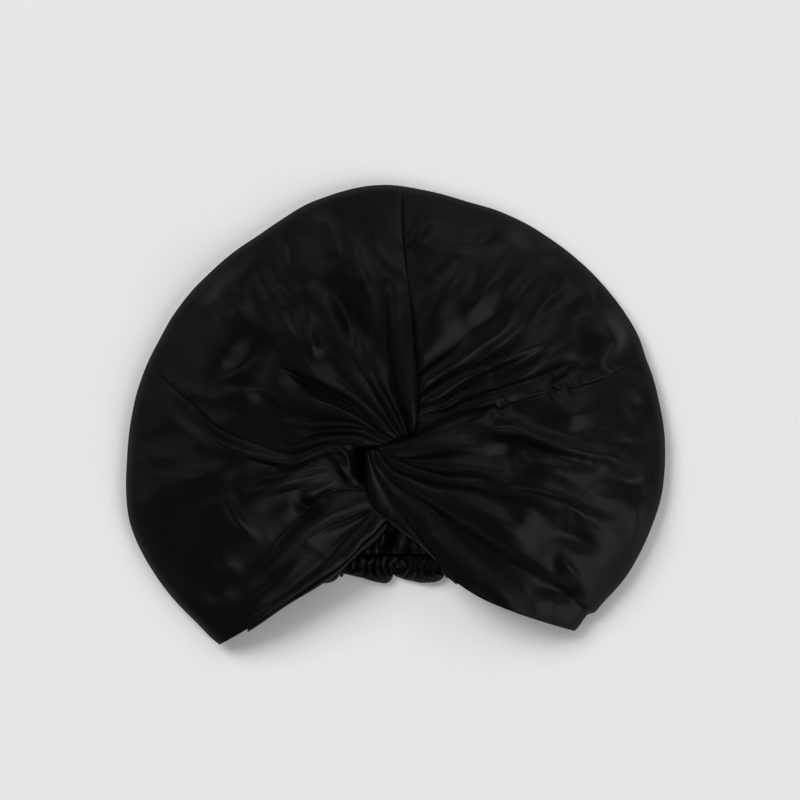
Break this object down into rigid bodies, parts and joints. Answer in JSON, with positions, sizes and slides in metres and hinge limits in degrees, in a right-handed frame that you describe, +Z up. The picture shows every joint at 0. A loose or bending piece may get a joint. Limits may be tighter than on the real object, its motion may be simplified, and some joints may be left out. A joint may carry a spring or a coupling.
{
  "type": "turban headwrap",
  "caption": "Soft twist-front satin turban lying flat, front up: puffed crown, crossed front bands and a gathered elastic nape with a small ruffle.",
  "frame": {"origin": "centre of the footprint, on the surface that the turban lies on", "axes": "+X to the viewer's right as the front faces up, +Y from the head opening to the top of the crown, +Z up out of the front"},
  "size_m": [0.3206, 0.271, 0.0481],
  "materials": {
    "satin": "black polyester satin, soft sheen",
    "hem_satin": "black satin, turned and stitched",
    "casing_satin": "black satin, gathered over elastic"
  },
  "bodies": {
    "root": {"crown_left": "satin", "crown_right": "satin", "band_left": "satin", "band_right": "satin", "hem_left": "hem_satin", "hem_right": "satin", "nape_casing": "casing_satin", "nape_ruffle": "hem_satin"}
  },
  "joints": []
}
